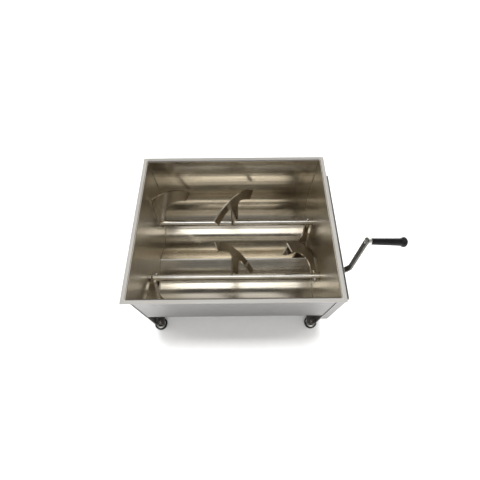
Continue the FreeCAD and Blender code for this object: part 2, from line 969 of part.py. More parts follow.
def spur_gear(label, y, bore, tooth_angle, hub, keyed):
    module = size("gear_module")
    pitch_radius = pitch_diameter / 2
    root_circle = pitch_radius - module * ROOT_DEPTH
    tip_circle = pitch_radius + module
    width = size("gear_width")
    body = new_body(label)
    blank = new_sketch(body, "YZ_Plane")
    circle(blank, 0, 0, tip_circle)
    circle(blank, 0, 0, bore)
    pad(body, blank, width)
    if hub:
        boss = new_sketch(body, "YZ_Plane", width)
        circle(boss, 0, 0, size("gear_hub_radius"))
        circle(boss, 0, 0, bore)
        pad(body, boss, size("gear_hub_length"))
    if keyed:
        half_key = size("key_width") / 2
        keyway = new_sketch(body, "YZ_Plane")
        rectangle(keyway, -half_key, 0, half_key, key_top)
        pocket(body, keyway)
    half_pitch_angle = dim(HALF_TURN) / size("gear_teeth")
    gap = new_sketch(body, "YZ_Plane", 0, Z_AXIS, tooth_angle - 90 - half_pitch_angle)
    low = module * GAP_AT_ROOT + size("tooth_play")
    high = module * GAP_AT_TIP + size("tooth_play")
    flank = pitch_radius * sine(size("pressure_angle"))
    past_tip = tip_circle + size("tooth_play")
    outline(gap, [
        (-low, root_circle),
        (low, root_circle, flank, RIGHT),
        (high, past_tip),
        (high, past_tip + module),
        (-high, past_tip + module),
        (-high, past_tip, flank, RIGHT),
    ])
    cut = pocket(body, gap)
    around(body, cut, size("gear_teeth"))
    place(body, gear_start, y, axis_height)
    return finish(body)


def gear_key(name, y):
    body = new_body(name + "_gear_key")
    half_key = size("key_width") / 2
    sketch = new_sketch(body, "XY_Plane", shaft_radius - size("key_depth"))
    rectangle(sketch, gear_start, -half_key, gear_end, half_key)
    pad(body, sketch, size("key_height"))
    place(body, 0, y, axis_height)
    finish(body)


def clip(label, x, y, inner, outer):
    """Open retaining ring in a groove."""
    body = new_body(label)
    sketch = new_sketch(body, "YZ_Plane")
    circle(sketch, 0, 0, outer)
    circle(sketch, 0, 0, inner)
    pad(body, sketch, size("clip_wall"))
    opening = new_sketch(body, "YZ_Plane")
    rectangle(opening, -inner / 2, 0, inner / 2, outer + size("clip_height"))
    pocket(body, opening)
    place(body, x, y, axis_height)
    finish(body)


def idler_pin(name, y):
    pin = size("idler_pin_radius")
    flange_end = gear_start - size("shoulder_gap")
    groove_end = idler_clip_start + clip_groove
    pin_end = groove_end + size("groove_land")
    ring(name + "_idler_pin", [
        (half_length, 0),
        (half_length, idler_rivet),
        (plate_outside, idler_rivet),
        (plate_outside, pin + size("idler_flange")),
        (flange_end, pin + size("idler_flange")),
        (flange_end, pin),
        (idler_clip_start, pin),
        (idler_clip_start, pin - size("groove_depth")),
        (groove_end, pin - size("groove_depth")),
        (groove_end, pin),
        (pin_end, pin),
        (pin_end, 0),
    ], y)


def gear_train():
    idler_bore = size("idler_pin_radius") + running_gap
    half_turn_mesh = dim(HALF_TURN) + dim(HALF_TURN) / size("gear_teeth")
    spur_gear("front_gear", -shaft_offset, shaft_radius, dim(0), True, True)
    spur_gear("front_idler_gear", -pitch_diameter / 2, idler_bore, half_turn_mesh, False, False)
    spur_gear("rear_idler_gear", pitch_diameter / 2, idler_bore, dim(0), False, False)
    spur_gear("rear_gear", shaft_offset, shaft_radius, half_turn_mesh, True, True)
    groove_floor = shaft_radius - size("groove_depth")
    for name, y in shaft_places.items():
        gear_key(name, y)
        clip(name + "_gear_clip", clip_start, y, groove_floor, groove_floor + size("clip_height"))
    groove_floor = size("idler_pin_radius") - size("groove_depth")
    for name, y in (("front", -pitch_diameter / 2), ("rear", pitch_diameter / 2)):
        idler_pin(name, y)
        clip(name + "_idler_clip", idler_clip_start, y, groove_floor, groove_floor + size("clip_height"))


# Gear cover: a folded box on stand-off spacers
def cover_spots():
    inset = size("cover_screw_inset")
    front = -cover_front + inset
    rear = cover_rear - inset
    for y in (front, (front + rear) / 2, rear):
        for z in (cover_bottom + inset, cover_top - inset):
            yield y, z


def gear_cover():
    gauge = size("cover_wall")
    body = new_body("gear_cover")
    block = new_sketch(body, "YZ_Plane", plate_outside)
    rectangle(block, -cover_front, cover_bottom, cover_rear, cover_top)
    box = pad(body, block, cover_outside - plate_outside)
    low, high = cover_bottom.value, cover_top.value
    front, rear = -cover_front.value, cover_rear.value
    face = cover_outside.value

    def outer_edge(edge):
        spot = edge.CenterOfMass
        at_side = min(abs(spot.y - front), abs(spot.y - rear)) < NEAR
        at_level = min(abs(spot.z - low), abs(spot.z - high)) < NEAR
        return (at_side and at_level) or abs(spot.x - face) < NEAR

    fillet(body, box, outer_edge, size("cover_corner"))
    inside = new_sketch(body, "YZ_Plane", plate_outside)
    rectangle(inside, -cover_front + gauge, cover_bottom + gauge, cover_rear - gauge, cover_top - gauge)
    pocket(body, inside, cover_inside - plate_outside, up=True)
    holes = new_sketch(body, "YZ_Plane")
    circle(holes, -shaft_offset, axis_height, cover_bush_radius)
    for y, z in cover_spots():
        circle(holes, y, z, size("screw_radius"))
    pocket(body, holes)
    finish(body)


def cover_fixings():
    spacers = []
    screws = []
    bore = size("screw_radius")
    floor = cover_inside - size("screw_depth") - size("thread_reach")
    for y, z in cover_spots():
        spacer = new_body("cover_spacer")
        turned(spacer, [
            (plate_outside, 0),
            (plate_outside, size("spacer_radius")),
            (cover_inside, size("spacer_radius")),
            (cover_inside, bore),
            (floor, bore),
            (floor, 0),
        ])
        place(spacer, 0, y, z)
        spacers.append(spacer)
        reach = size("cover_wall") + size("screw_depth")
        screws.append(pan_screw("cover_screw", cover_outside, reach, 1, y, z))
    group("cover_spacers", spacers)
    group("cover_screws", screws)


def cover_bush():
    ring("cover_bush", [
        (cover_inside, shaft_bore),
        (cover_inside, cover_bush_radius),
        (cover_outside, cover_bush_radius),
        (cover_outside, cover_bush_radius + size("cover_bush_lip")),
        (cover_bush_end, cover_bush_radius + size("cover_bush_lip")),
        (cover_bush_end, shaft_bore),
    ], -shaft_offset)


# Crank: hub, joggled flat bar, end bolt and a free-turning grip on its spindle
def mitre_chain(points, half_wall, side, bend):
    """One side of a bar bent along points: mitred corners, each rounded by an arc."""
    steps = []
    for start, end in zip(points, points[1:]):
        run, rise = end[0] - start[0], end[1] - start[1]
        length = root(run * run + rise * rise)
        steps.append((run / length, rise / length))
    shift = half_wall * side
    chain = [(points[0][0] - steps[0][1] * shift, points[0][1] + steps[0][0] * shift)]
    for point, (ux, uy), (vx, vy) in zip(points[1:], steps, steps[1:]):
        cross = ux * vy - uy * vx
        reach = 1 + ux * vx + uy * vy
        turn = LEFT if cross.value > 0 else RIGHT
        mitre = (point[0] - (uy + vy) * shift / reach, point[1] + (ux + vx) * shift / reach)
        radius = bend if turn == side else bend + half_wall * 2
        back = radius * cross * turn / reach
        chain.append((mitre[0] - ux * back, mitre[1] - uy * back, radius, turn))
        chain.append((mitre[0] + vx * back, mitre[1] + vy * back))
    last = points[-1]
    chain.append((last[0] - steps[-1][1] * shift, last[1] + steps[-1][0] * shift))
    return chain


def backwards(chain):
    """The same chain from its other end, with each arc leaving its new first corner."""
    turned_chain = []
    for number in range(len(chain) - 1, -1, -1):
        corner = chain[number][:2]
        before = chain[number - 1] if number else ()
        turned_chain.append(corner + ((before[2], -before[3]) if len(before) == 4 else ()))
    return turned_chain


def crank_arm():
    half_wall = size("crank_bar_wall") / 2
    width = size("crank_bar_width")
    points = [
        (crank_bar_x, -size("crank_end")),
        (crank_bar_x, size("crank_joggle_start")),
        (elbow_x, elbow_z),
        (grip_x + splay_sin * size("crank_end"), size("crank_radius") + splay_cos * size("crank_end")),
    ]
    body = new_body("crank_arm")
    sketch = new_sketch(body, "XZ_Plane")
    left = mitre_chain(points, half_wall, LEFT, size("crank_bend"))
    right = mitre_chain(points, half_wall, RIGHT, size("crank_bend"))
    outline(sketch, left + backwards(right))
    bar = pad(body, sketch, width, middle=True)
    low_end = points[0][1].value
    high_end = points[-1][1].value

    def end_corner(edge):
        spot = edge.CenterOfMass
        at_side = abs(abs(spot.y) - width.value / 2) < NEAR
        return at_side and min(abs(spot.z - low_end), abs(spot.z - high_end)) < NEAR

    fillet(body, bar, end_corner, size("crank_end_round"))
    holes = new_sketch(body, "YZ_Plane")
    circle(holes, 0, 0, size("crank_bolt_radius"))
    pocket(body, holes)
    grip_hole = new_sketch(body, "YZ_Plane", 0, X_AXIS, splay)
    circle(grip_hole, 0, grip_height, size("spindle_radius"))
    pocket(body, grip_hole)
    place(body, 0, -shaft_offset, axis_height, X_AXIS, -size("crank_lean_angle"))
    finish(body)


def crank_hub():
    body = new_body("crank_hub")
    hub = size("crank_hub_radius")
    edge = size("edge_break")
    end = crank_start + size("crank_hub_length")
    turned(body, [
        (crank_start, shaft_radius),
        (crank_start, hub - edge),
        (crank_start + edge, hub),
        (end - edge, hub),
        (end, hub - edge),
        (end, shaft_radius),
    ])
    hole = new_sketch(body, "XY_Plane")
    circle(hole, crank_set_x, 0, size("hook_bolt_radius"))
    pocket(body, hole, hub * 2)
    place(body, 0, -shaft_offset, axis_height, X_AXIS, -size("crank_lean_angle"))
    finish(body)


def crank_fixings():
    bolt_radius = size("crank_bolt_radius")
    outer_face = crank_bar_x + size("crank_bar_wall") / 2
    washer_face = outer_face + size("crank_washer_wall")
    ring("crank_washer", [
        (outer_face, bolt_radius),
        (outer_face, size("crank_washer_radius")),
        (washer_face, size("crank_washer_radius")),
        (washer_face, bolt_radius),
    ], -shaft_offset)
    bolt = new_body("crank_bolt")
    head = new_sketch(bolt, "YZ_Plane", washer_face)
    hexagon(head, bolt_radius * HEX_CORNER)
    pad(bolt, head, size("crank_bolt_head"))
    shank = new_sketch(bolt, "YZ_Plane", washer_face)
    circle(shank, 0, 0, bolt_radius)
    pad(bolt, shank, washer_face - crank_shaft_end + size("crank_bolt_reach"), down=True)
    place(bolt, 0, -shaft_offset, axis_height, X_AXIS, -size("crank_lean_angle"))
    finish(bolt)
    screw = new_body("crank_set_screw")
    end = -(size("crank_hub_radius") + size("edge_break"))
    turned(screw, [
        (end, 0),
        (end, size("hook_bolt_radius")),
        (-shaft_radius, size("hook_bolt_radius")),
        (-shaft_radius, 0),
    ], upright=True)
    place(screw, crank_set_x, -shaft_offset, axis_height, X_AXIS, -size("crank_lean_angle"))
    finish(screw)


def grip_piece(label, corners):
    """Turned piece along the grip's axis, from the middle of the arm outward."""
    body = new_body(label)
    turned(body, corners)
    return hang_on_arm(body)


def hang_on_arm(body):
    lean = size("crank_lean_angle")
    tilt = FreeCAD.Rotation(X_AXIS, -lean.value) * FreeCAD.Rotation(Y_AXIS, splay.value)
    spot = (grip_x, -shaft_offset + size("crank_radius") * sine(lean),
            axis_height + size("crank_radius") * cosine(lean))
    body.Placement = FreeCAD.Placement(Vector(*(d.value for d in spot)), tilt)
    for field, d in zip("xyz", spot):
        body.setExpression("Placement.Base." + field, d.text)
    return finish(body)


def grip_parts():
    face = size("crank_bar_wall") / 2
    spindle = size("spindle_radius")
    bore = spindle + running_gap
    snap = spindle + size("spindle_snap")
    collar_end = face + size("collar_length")
    start = collar_end + size("grip_gap")
    end = start + size("grip_length")
    floor = end - size("grip_end_wall")
    snap_start = floor - size("snap_back")
    snap_end = snap_start + size("snap_length")
    ramp = size("snap_ramp")
    edge = size("edge_break")

    collar = size("collar_radius")
    grip_piece("grip_collar", [
        (face, spindle),
        (face, collar - edge, edge, RIGHT),
        (face + edge, collar),
        (collar_end - edge, collar, edge, RIGHT),
        (collar_end, collar - edge),
        (collar_end, spindle),
    ])

    rivet = size("rivet_radius")
    rivet_end = -(face + size("rivet_height"))
    grip_piece("grip_spindle", [
        (rivet_end, 0),
        (rivet_end, rivet * HEAD_CROWN),
        (rivet_end + size("rivet_height") * HEAD_RIM, rivet),
        (-face, rivet),
        (-face, spindle),
        (snap_start, spindle),
        (snap_start + ramp, snap),
        (snap_end, snap),
        (snap_end + ramp, spindle),
        (floor - edge, spindle),
        (floor - edge, 0),
    ])

    bulb = size("grip_bulb_radius")
    waist = size("grip_waist_radius")
    bulb_start = end - size("grip_bulb_length")
    neck = size("grip_neck_round")
    groove_start = snap_start - ramp
    groove_end = snap_end + ramp * 2
    base = size("grip_base_radius")
    grip_piece("grip", [
        (start, bore),
        (start, base - edge, edge, RIGHT),
        (start + edge, base),
        (bulb_start, waist, neck, LEFT),
        (bulb_start + neck * NECK_RUN, waist + neck * NECK_RISE, bulb, RIGHT),
        (bulb_start + size("grip_bulb_length") / 2, bulb, bulb * BULB_ROUND, RIGHT),
        (end - edge, bulb * BULB_NOSE, bulb * BULB_END, RIGHT),
        (end, 0),
        (floor, 0),
        (floor, bore),
        (groove_end, bore),
        (groove_end, snap + running_gap),
        (groove_start, snap + running_gap),
        (groove_start, bore),
    ])


# The machine. Each shaft carries a hook at either end and a T-shaped paddle in the middle. The
# rear shaft is the front one turned end for end, so its hooks lean the other way.
trough_sheet()
end_plate("left_end_plate", -1, journal_bushing_radius)
end_plate("right_end_plate", 1, bushing_radius)
feet()
front_phase = size("front_phase_angle")
rear_phase = size("rear_phase_angle")
phases = {
    "front": (front_phase - HALF_TURN, front_phase, front_phase),
    "rear": (rear_phase, rear_phase, rear_phase + HALF_TURN),
}
leans = {"front": (-1, 1), "rear": (1, -1)}
ends = {"front": crank_shaft_end, "rear": rear_shaft_end}
hook = hook_outline()
for name, y in shaft_places.items():
    left_angle, middle_angle, right_angle = phases[name]
    left_lean, right_lean = leans[name]
    shaft(name, ends[name], (left_angle, right_angle))
    paddle(name + "_left_hook", hook, hook_lean * left_lean, -hook_x, y, left_angle, True)
    paddle(name + "_middle_paddle", middle_outline(), middle_lean, 0, y, middle_angle, False)
    paddle(name + "_right_hook", mirrored(hook, -1), hook_lean * right_lean, hook_x, y, right_angle, True)
    hook_bolts(name, ((-hook_x, left_angle), (hook_x, right_angle)))
    right_bushing(name, y)
    left_bushing(name, y)
    left_housing(name, y)
housing_screws()
gear_train()
gear_cover()
cover_fixings()
cover_bush()
crank_hub()
crank_arm()
crank_fixings()
grip_parts()

doc.recompute()
problems = [o.Label for o in doc.Objects if {"Invalid", "Error"} & set(o.State)]
if problems:
    raise RuntimeError("failed: " + ", ".join(problems))
os.makedirs("parts", exist_ok=True)
for node in nodes:
    if node.Shape.isNull() or not node.Shape.isValid():
        raise RuntimeError("no valid shape: " + node.Label)
    node.Shape.exportStep("parts/%s.step" % node.Label)
    box = node.Shape.BoundBox
    print(node.Label, len(node.Shape.Solids), round(node.Shape.Volume), box)
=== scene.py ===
import math

import bmesh
import bpy
from mathutils import Matrix, Vector


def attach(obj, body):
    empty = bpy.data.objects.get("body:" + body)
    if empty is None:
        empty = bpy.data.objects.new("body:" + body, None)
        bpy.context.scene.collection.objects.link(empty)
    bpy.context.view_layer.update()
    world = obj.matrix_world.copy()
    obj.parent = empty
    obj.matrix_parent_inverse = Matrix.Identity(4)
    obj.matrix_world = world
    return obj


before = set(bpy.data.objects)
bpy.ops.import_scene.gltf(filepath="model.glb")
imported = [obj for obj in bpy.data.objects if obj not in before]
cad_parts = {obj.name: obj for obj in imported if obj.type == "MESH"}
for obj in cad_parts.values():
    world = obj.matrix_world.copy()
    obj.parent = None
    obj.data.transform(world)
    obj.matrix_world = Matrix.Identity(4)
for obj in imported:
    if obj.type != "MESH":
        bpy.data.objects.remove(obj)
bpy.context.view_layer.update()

# Looks for the twin-shaft hand mixer: materials, weld beads, floor, light and camera.
# Everything is in metres in the row frame: +X to the crank, +Y to the rear, +Z up.

X, Y, Z = range(3)

# The tank's section, which the sheet's finish and the weld beads follow
HALF_LENGTH = 0.250
AXIS_HEIGHT = 0.143
SHAFT_OFFSET = 0.093
SHAFT_RADIUS = 0.010
TROUGH_RADIUS = 0.111
RIDGE_TOP = 0.065
RIDGE_FOOT = 0.044
RIDGE_FOOT_HEIGHT = 0.0434
RIDGE_SLOPE = 26.2
RIM_HEIGHT = 0.310
SHEET_WALL = 0.0015

# Camera solved from the rim's corners, the walls and the shafts
CAMERA_PLACE = (0.0161, -0.4017, 0.9968)
CAMERA_PITCH = 63.25
CAMERA_YAW = -0.20
CAMERA_ROLL = -0.36
CAMERA_LENS = 22.81
CAMERA_SHIFT = (-0.00104, 0.00104)
CAMERA_NEAR = 0.01

# Studio: one softbox over the tank, and three lamps that light the floor alone
FLOOR_HALF = 8.0
FLOOR_SQUARES = 8
FLOOR_TONE = (0.865, 0.885)
FLOOR_ROUGHNESS = 0.9
SOFTBOX_PLACE = (-0.045, 0.135, 1.75)
SOFTBOX_SIZE = (1.05, 0.50)
SOFTBOX_RADIANCE = 3.0
FLOOR_KEY_PLACE = (-0.06, 0.02, 1.75)
FLOOR_KEY_SIZE = (2.6, 0.25)
FLOOR_KEY_RADIANCE = 9.5
FLOOR_FILL_PLACE = (0.0, -2.2, 1.4)
FLOOR_FILL_SIZE = (2.6, 1.2)
FLOOR_FILL_RADIANCE = 2.3
FLOOR_WIDE_HEIGHT = 74.0
FLOOR_WIDE_SOFTNESS = 24.0
FLOOR_WIDE_STRENGTH = 2.4

# The middle of a noise, and its brighter part, which are mapped to a range of tones
NOISE_BAND = (0.3, 0.7)
NOISE_PEAKS = (0.35, 0.7)


class Shader:
    """One material and its node tree."""

    def __init__(self, name):
        self.material = bpy.data.materials.new(name)
        self.material.use_nodes = True
        self.tree = self.material.node_tree
        self.surface = self.tree.nodes["Principled BSDF"]
        self.place = self.add("TexCoord").outputs["Object"]
        self.normal = self.add("NewGeometry").outputs["Normal"]

    def add(self, kind, **settings):
        node = self.tree.nodes.new("ShaderNode" + kind)
        for key, setting in settings.items():
            setattr(node, key, setting)
        return node

    def feed(self, socket, given):
        """Links a socket to another one, or sets its value."""
        if isinstance(given, bpy.types.NodeSocket):
            self.tree.links.new(given, socket)
        else:
            socket.default_value = given

    def feed_all(self, sockets, values):
        for socket, given in zip(sockets, values):
            self.feed(socket, given)

    def math(self, operation, *values):
        node = self.add("Math", operation=operation)
        self.feed_all(node.inputs, values)
        return node.outputs[0]

    def times(self, first, *others):
        for other in others:
            first = self.math("MULTIPLY", first, other)
        return first

    def vector(self, operation, *values):
        node = self.add("VectorMath", operation=operation)
        self.feed_all(node.inputs, values)
        return node.outputs["Value" if operation == "DOT_PRODUCT" else "Vector"]

    def split(self, vector):
        node = self.add("SeparateXYZ")
        self.feed(node.inputs[0], vector)
        return node.outputs

    def join(self, x, y, z):
        node = self.add("CombineXYZ")
        self.feed_all(node.inputs, (x, y, z))
        return node.outputs[0]

    def noise(self, stretch, detail=3.0, roughness=0.5):
        """Noise with this many cells per metre along X, Y and Z."""
        node = self.add("TexNoise")
        self.feed(node.inputs["Vector"], self.vector("MULTIPLY", self.place, stretch))
        node.inputs["Scale"].default_value = 1.0
        node.inputs["Detail"].default_value = detail
        node.inputs["Roughness"].default_value = roughness
        return node.outputs["Fac"]

    def spread(self, value, low, high, to_low=0.0, to_high=1.0):
        """Maps low..high to to_low..to_high and holds it beyond."""
        node = self.add("MapRange", interpolation_type="SMOOTHSTEP", clamp=True)
        self.feed_all(node.inputs, (value, low, high, to_low, to_high))
        return node.outputs["Result"]

    def blend(self, factor, first, second):
        node = self.add("Mix", data_type="FLOAT")
        self.feed_all((node.inputs[0], node.inputs[2], node.inputs[3]), (factor, first, second))
        return node.outputs[0]

    def colour(self, factor, first, second, kind="MIX"):
        node = self.add("Mix", data_type="RGBA", blend_type=kind)
        pair = [given if isinstance(given, bpy.types.NodeSocket) else (*given, 1.0)
                for given in (first, second)]
        self.feed_all((node.inputs[0], node.inputs[6], node.inputs[7]), (factor, *pair))
        return node.outputs[2]

    def rounded(self, radius):
        """The normal with the edges rounded off."""
        bevel = self.add("Bevel", samples=4)
        bevel.inputs["Radius"].default_value = radius
        return bevel.outputs[0]

    def edges(self, radius, most):
        """The share most within radius of an edge and 0 on a plain face."""
        straight = self.vector("DOT_PRODUCT", self.rounded(radius), self.normal)
        return self.times(self.spread(straight, 0.995, 0.90), most)

    def bump(self, height, distance, strength, soften=0.0):
        node = self.add("Bump")
        node.inputs["Strength"].default_value = strength
        node.inputs["Distance"].default_value = distance
        self.feed(node.inputs["Height"], height)
        if soften:
            self.feed(node.inputs["Normal"], self.rounded(soften))
        self.feed(self.surface.inputs["Normal"], node.outputs[0])

    def finish(self, colour, roughness, metallic=1.0):
        self.feed(self.surface.inputs["Base Color"], colour)
        self.feed(self.surface.inputs["Roughness"], roughness)
        self.surface.inputs["Metallic"].default_value = metallic
        return self.material


# Masks on the sheets
RIM_MARGIN = 0.0004
RIM_FACING = (0.95, 0.99)
INSIDE_FADE = (0.0, -0.03)
FACES_INWARD = -0.5


def from_shaft(shader):
    """How far a place lies beside and above the nearer shaft, and on which side of the ridge."""
    _, y, z = shader.split(shader.place)
    beside = shader.math("SUBTRACT", shader.math("ABSOLUTE", y), SHAFT_OFFSET)
    return beside, shader.math("SUBTRACT", z, AXIS_HEIGHT), shader.math("SIGN", y)


def inside_tank(shader):
    """1 on faces that look into the tank, by the section of the two troughs."""
    _, facing_y, facing_z = shader.split(shader.normal)
    beside, above, side = from_shaft(shader)
    outward = shader.math("ADD", shader.times(facing_y, side, beside), shader.times(facing_z, above))
    return shader.spread(outward, *INSIDE_FADE)


def inside_plate(shader):
    """1 on the part of an end plate's inner face that closes the tank."""
    x, y, z = shader.split(shader.place)
    beside, above, _ = from_shaft(shader)
    square = shader.math("ADD", shader.times(beside, beside), shader.times(above, above))
    in_trough = shader.math("LESS_THAN", shader.math("SQRT", square), TROUGH_RADIUS)
    over_ridge = shader.times(shader.math("LESS_THAN", shader.math("ABSOLUTE", y), SHAFT_OFFSET),
                              shader.math("GREATER_THAN", z, RIDGE_TOP))
    over_axes = shader.math("GREATER_THAN", z, AXIS_HEIGHT)
    section = shader.math("MAXIMUM", shader.math("MAXIMUM", in_trough, over_ridge), over_axes)
    outward = shader.times(shader.split(shader.normal)[X], shader.math("SIGN", x))
    return shader.times(section, shader.math("LESS_THAN", outward, FACES_INWARD))


def rim_flat(shader):
    """1 on the flat top of the rim."""
    high = shader.math("GREATER_THAN", shader.split(shader.place)[Z], RIM_HEIGHT - RIM_MARGIN)
    return shader.times(high, shader.spread(shader.split(shader.normal)[Z], *RIM_FACING))


# Sheet steel: polished and warm inside the tank, satin and brushed outside; the outside's dark colour
# is painted shade and the rim top's lighter one a painted highlight
INSIDE_STEEL = (0.64, 0.593, 0.505)
SHADED_OUTSIDE_STEEL = (0.198, 0.192, 0.187)
RIM_HIGHLIGHT_STEEL = (0.79, 0.775, 0.735)
WORN_STEEL = (0.78, 0.77, 0.75)
RIDGE_HIGHLIGHT_STEEL = (0.97, 0.955, 0.92)
SATIN = (0.27, 0.34)
POLISH_CHANGE = 0.035
RIM_ROUGHNESS = 0.60
RIDGE_HIGHLIGHT_ROUGHNESS = 0.42
SHEET_EDGE = 0.0025

# Cells per metre along the grain and across it
STREAKS = (7.0, 1500.0)
SCRATCHES = (1.61, 345.0)
LINES = (1.5, 99.0)
PATCHES = (9.0, 9.0, 9.0)

# Relief of the sheets, bump alone: a height of 1 is SHEET_RELIEF metres at full strength
BRUSHING_OUTSIDE = 0.03
BRUSHING_INSIDE = 0.004
SHEET_RELIEF = 0.0012
SHEET_RELIEF_STRENGTH = 0.35
SHEET_ROUNDING = 0.0006

# Fall of the hollow on the ridge's rear slope, and the press mark low in the rear trough from
# one y to another
RIDGE_HOLLOW = 340.0
PRESS_MARK = (0.074, 0.094)
PRESS_MARK_DEPTH = 2.3

# The strip along the ridge's top that is painted bright, a painted highlight: it fades in y and below
# the top
RIDGE_HIGHLIGHT_HALF_WIDTH = (0.0032, 0.0018)
RIDGE_HIGHLIGHT_BELOW_TOP = (0.004, 0.002)
RIDGE_HIGHLIGHT_ABOVE_TOP = 0.002


def along(axis, cells):
    """Stretch factors for a grain that runs along one axis."""
    return tuple(cells[0] if i == axis else cells[1] for i in range(3))


def painted_ridge_highlight(shader, inside):
    """1 on the narrow top of the ridge, where the painted highlight goes."""
    _, y, z = shader.split(shader.place)
    return shader.times(
        shader.spread(shader.math("ABSOLUTE", y), *RIDGE_HIGHLIGHT_HALF_WIDTH),
        shader.spread(z, *(RIDGE_TOP - below for below in RIDGE_HIGHLIGHT_BELOW_TOP)),
        inside, shader.math("LESS_THAN", z, RIDGE_TOP + RIDGE_HIGHLIGHT_ABOVE_TOP))


def trough_marks(shader, inside):
    """Relief of the hollow behind the ridge and of the press mark."""
    y = shader.split(shader.place)[Y]
    down_slope = shader.math("MINIMUM", shader.math("ABSOLUTE", y), RIDGE_FOOT)
    behind = shader.math("GREATER_THAN", y, 0.0)
    hollow = shader.times(behind, down_slope, inside, -RIDGE_HOLLOW)
    press_mark = shader.times(shader.spread(y, *PRESS_MARK, 0.0, PRESS_MARK_DEPTH), inside)
    return shader.math("ADD", hollow, press_mark)


def sheet_material(name, inside_of, axis, wave, polish=0.3, lined=(0.95, 1.04), stretched=0.0):
    """Sheet with its grain along one axis. Stretched blurs the gloss along X, and is the trough's."""
    shader = Shader(name)
    inside = inside_of(shader) if inside_of else 0.0
    # Painted highlight: the rim's upturned flat top gets a lighter steel colour; its higher roughness
    # is the finish
    rim = rim_flat(shader)
    streaks = shader.noise(along(axis, STREAKS), 6.0, 0.62)
    scratches = shader.noise(along(axis, SCRATCHES), 8.0, 0.75)
    lines = shader.noise(along(axis, LINES), 3.0, 0.6)
    patches = shader.noise(PATCHES)
    shade = shader.times(
        shader.spread(streaks, *NOISE_BAND, 0.90, 1.06),
        shader.blend(inside, 1.0, shader.spread(lines, *NOISE_BAND, *lined)),
        shader.spread(patches, *NOISE_BAND, 0.95, 1.04))
    # Painted shade: the sheet's outer faces get a dark copy of the steel's colour
    plain = shader.colour(rim, shader.colour(inside, SHADED_OUTSIDE_STEEL, INSIDE_STEEL), RIM_HIGHLIGHT_STEEL)
    toned = shader.colour(1.0, plain, shader.join(shade, shade, shade), "MULTIPLY")
    colour = shader.colour(shader.edges(SHEET_EDGE, 0.6), toned, WORN_STEEL)
    satin = shader.spread(streaks, *NOISE_BAND, *SATIN)
    polished = shader.spread(scratches, *NOISE_PEAKS, polish - POLISH_CHANGE, polish + POLISH_CHANGE)
    roughness = shader.blend(rim, shader.blend(inside, satin, polished), RIM_ROUGHNESS)
    roughness = shader.math("ADD", roughness, shader.spread(patches, *NOISE_PEAKS, -0.02, 0.04))
    brushing = shader.times(streaks, shader.blend(inside, BRUSHING_OUTSIDE, BRUSHING_INSIDE))
    height = shader.math("ADD", shader.noise(wave, 2.0, 0.4), brushing)
    if stretched:
        shader.surface.inputs["Anisotropic"].default_value = stretched
        shader.feed(shader.surface.inputs["Tangent"], shader.join(1.0, 0.0, 0.0))
        # Painted highlight: a bright strip along the ridge's top, with its own roughness
        rubbed_patches_and_ridge_highlight = painted_ridge_highlight(shader, inside)
        colour = shader.colour(rubbed_patches_and_ridge_highlight, colour, RIDGE_HIGHLIGHT_STEEL)
        roughness = shader.blend(rubbed_patches_and_ridge_highlight, roughness, RIDGE_HIGHLIGHT_ROUGHNESS)
        height = shader.math("ADD", height, trough_marks(shader, inside))
    shader.bump(height, SHEET_RELIEF, SHEET_RELIEF_STRENGTH, soften=SHEET_ROUNDING)
    return shader.finish(colour, roughness)


# The other materials
PADDLE_STEEL = ((0.58, 0.53, 0.45), (0.47, 0.425, 0.355))
PADDLE_CUT = (0.30, 0.28, 0.25)
GRIP_BLACK = ((0.006, 0.006, 0.007), (0.013, 0.012, 0.012))
GRIP_SPECULAR = 0.28
RUBBER_BLACK = (0.008, 0.008, 0.008)
RUBBER_DUST = (0.11, 0.10, 0.095)
RUBBER_DUST_TOP = 0.007
RUBBER_SPECULAR = 0.16
WELD_BRIGHT = (0.62, 0.60, 0.56)
WELD_STRAW = (0.55, 0.42, 0.24)
WELD_BLUE = (0.24, 0.20, 0.22)
ROUNDED_BAR = 0.0015
ROUNDED_SMALL = 0.0008


def turned_steel(name, base, low, high, pitch):
    """Turned bar with fine rings round X, pitch of them per metre, rough from low to high."""
    shader = Shader(name)
    rings = shader.noise((pitch, 6.0, 6.0), 4.0, 0.6)
    smears = shader.noise((12.0, 60.0, 60.0), 4.0, 0.6)
    dark = tuple(c * 0.82 for c in base)
    colour = shader.colour(shader.spread(smears, *NOISE_PEAKS), base, dark)
    colour = shader.colour(shader.edges(ROUNDED_BAR, 0.5), colour, WORN_STEEL)
    shader.bump(rings, 0.0002, 0.5, soften=0.0004)
    return shader.finish(colour, shader.spread(rings, *NOISE_BAND, low, high))


def paddle_material(name):
    """Cut plate: cloudy satin faces, darker cut edges."""
    shader = Shader(name)
    clouds = shader.noise((30.0, 30.0, 30.0), 5.0, 0.6)
    streaks = shader.noise((420.0, 90.0, 60.0), 4.0, 0.6)
    colour = shader.colour(shader.spread(clouds, *NOISE_BAND), *PADDLE_STEEL)
    colour = shader.colour(shader.edges(ROUNDED_BAR, 0.5), colour, PADDLE_CUT)
    roughness = shader.math("ADD", shader.spread(streaks, *NOISE_BAND, 0.13, 0.18),
                            shader.spread(clouds, *NOISE_BAND, -0.015, 0.02))
    shader.bump(streaks, 0.0001, 0.2, soften=0.0004)
    return shader.finish(colour, roughness)


